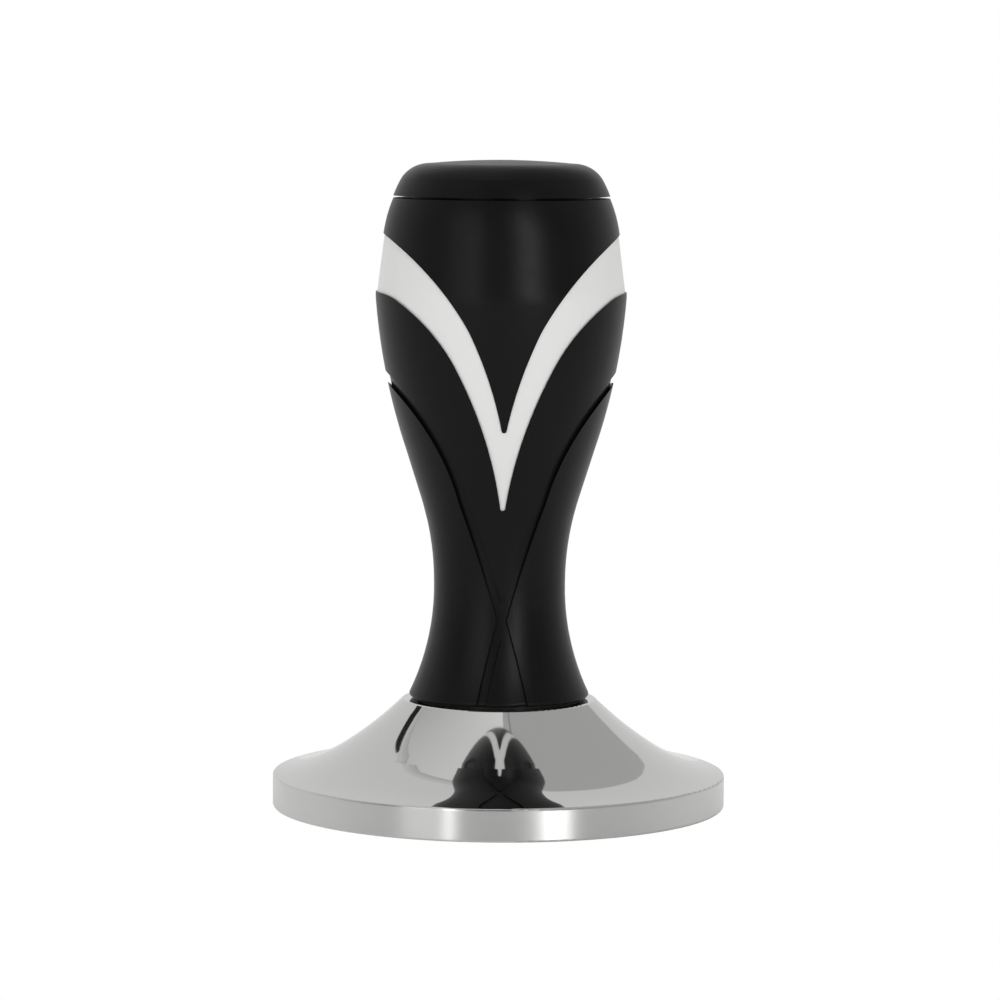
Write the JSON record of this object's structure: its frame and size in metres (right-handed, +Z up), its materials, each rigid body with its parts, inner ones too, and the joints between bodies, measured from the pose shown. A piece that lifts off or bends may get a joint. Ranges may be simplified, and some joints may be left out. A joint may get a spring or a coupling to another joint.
{
  "type": "espresso tamper",
  "caption": "Espresso tamper: a flared steel base with a screw-on waisted handle, a two-tone chevron grip and a pull-off top cap.",
  "frame": {"origin": "centre of the flat tamping face, on the tamper's axis", "axes": "+Z up along the axis towards the cap; -Y faces the viewer, where one tongue of the chevrons points down"},
  "size_m": [0.058, 0.058, 0.0827],
  "materials": {
    "polished_steel": "polished",
    "turned_steel": "satin",
    "black_plastic": "matte",
    "grey_plastic": "satin",
    "black_rubber": "matte"
  },
  "bodies": {
    "base": {"base": "polished_steel"},
    "gasket": {"handle_gasket": "black_rubber"},
    "handle": {"spine": "turned_steel", "lower_grip": "black_plastic", "accent_band": "grey_plastic", "crown_shell": "black_plastic", "clamp_washer": "turned_steel", "lock_washer": "turned_steel", "clamp_nut": "turned_steel"},
    "cap": {"top_cap": "black_plastic", "cap_o_ring": "black_rubber"}
  },
  "joints": [
    {"name": "handle_rise", "type": "slide", "parent": "base", "child": "gasket", "axis": [0, 0, 1], "range_m": [0, 0.0075]},
    {"name": "handle_turn", "type": "hinge", "parent": "gasket", "child": "handle", "pos_m": [0, 0, 0.0141], "axis": [0, 0, 1], "range_deg": [0, 2160]},
    {"name": "cap_pull", "type": "slide", "parent": "handle", "child": "cap", "axis": [0, 0, 1], "range_m": [0, 0.008]}
  ],
  "couplings": [
    {"joint": "handle_rise", "follows": "handle_turn", "m_per_rad": 0.00019894}
  ]
}
